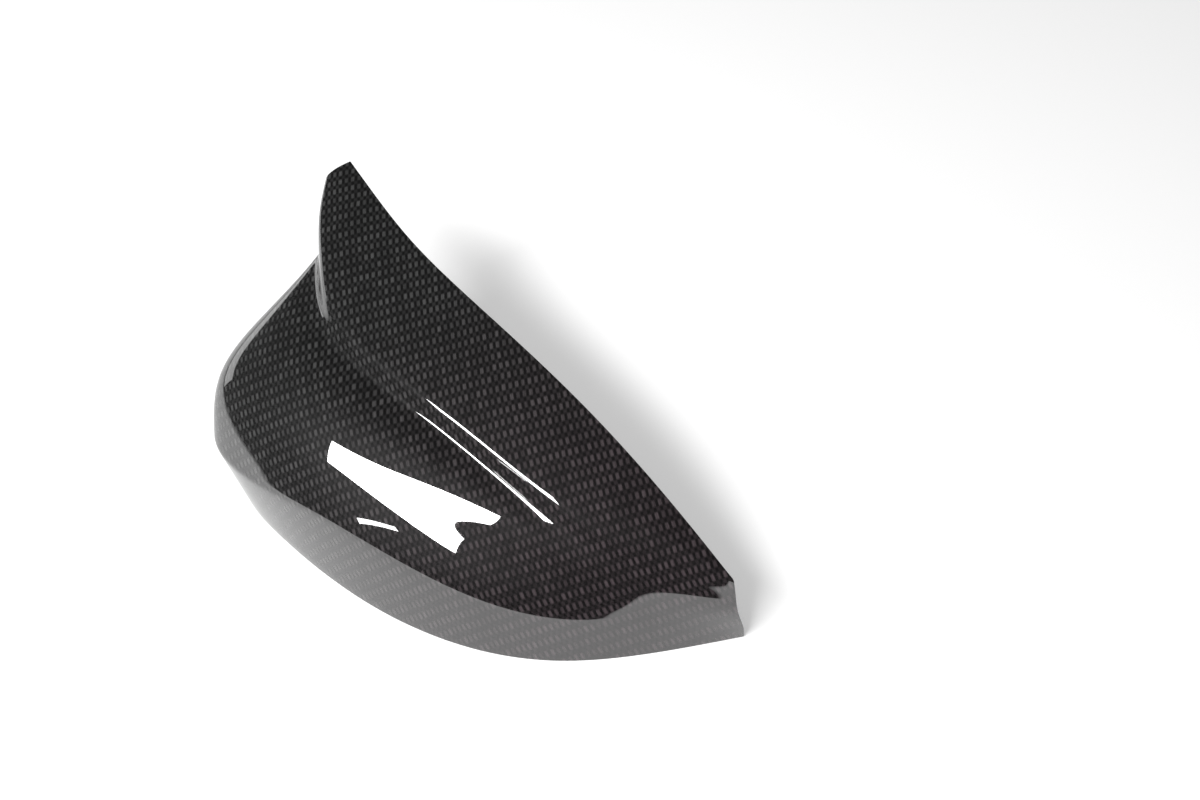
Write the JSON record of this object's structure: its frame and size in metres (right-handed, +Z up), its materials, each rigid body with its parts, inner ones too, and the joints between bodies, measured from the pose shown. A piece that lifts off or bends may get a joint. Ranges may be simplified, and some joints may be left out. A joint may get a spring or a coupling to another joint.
{
  "type": "wing mirror cover",
  "caption": "Moulded shell that covers the back of a car's wing mirror, with a cut horn at its inboard end, an open rear and an open foot.",
  "frame": {"origin": "on the floor under the middle of the cover's length and depth, with the lower edge standing on the floor", "axes": "+X outboard from the tip of the horn to the outer end, +Y to the rear of the car, +Z up"},
  "size_m": [0.261, 0.119, 0.088],
  "materials": {
    "carbon_gloss": "dark 2x2 twill carbon fibre under a clear gloss coat",
    "black_satin": "smooth black, low sheen"
  },
  "bodies": {
    "root": {"cover_shell": "carbon_gloss"}
  },
  "joints": []
}
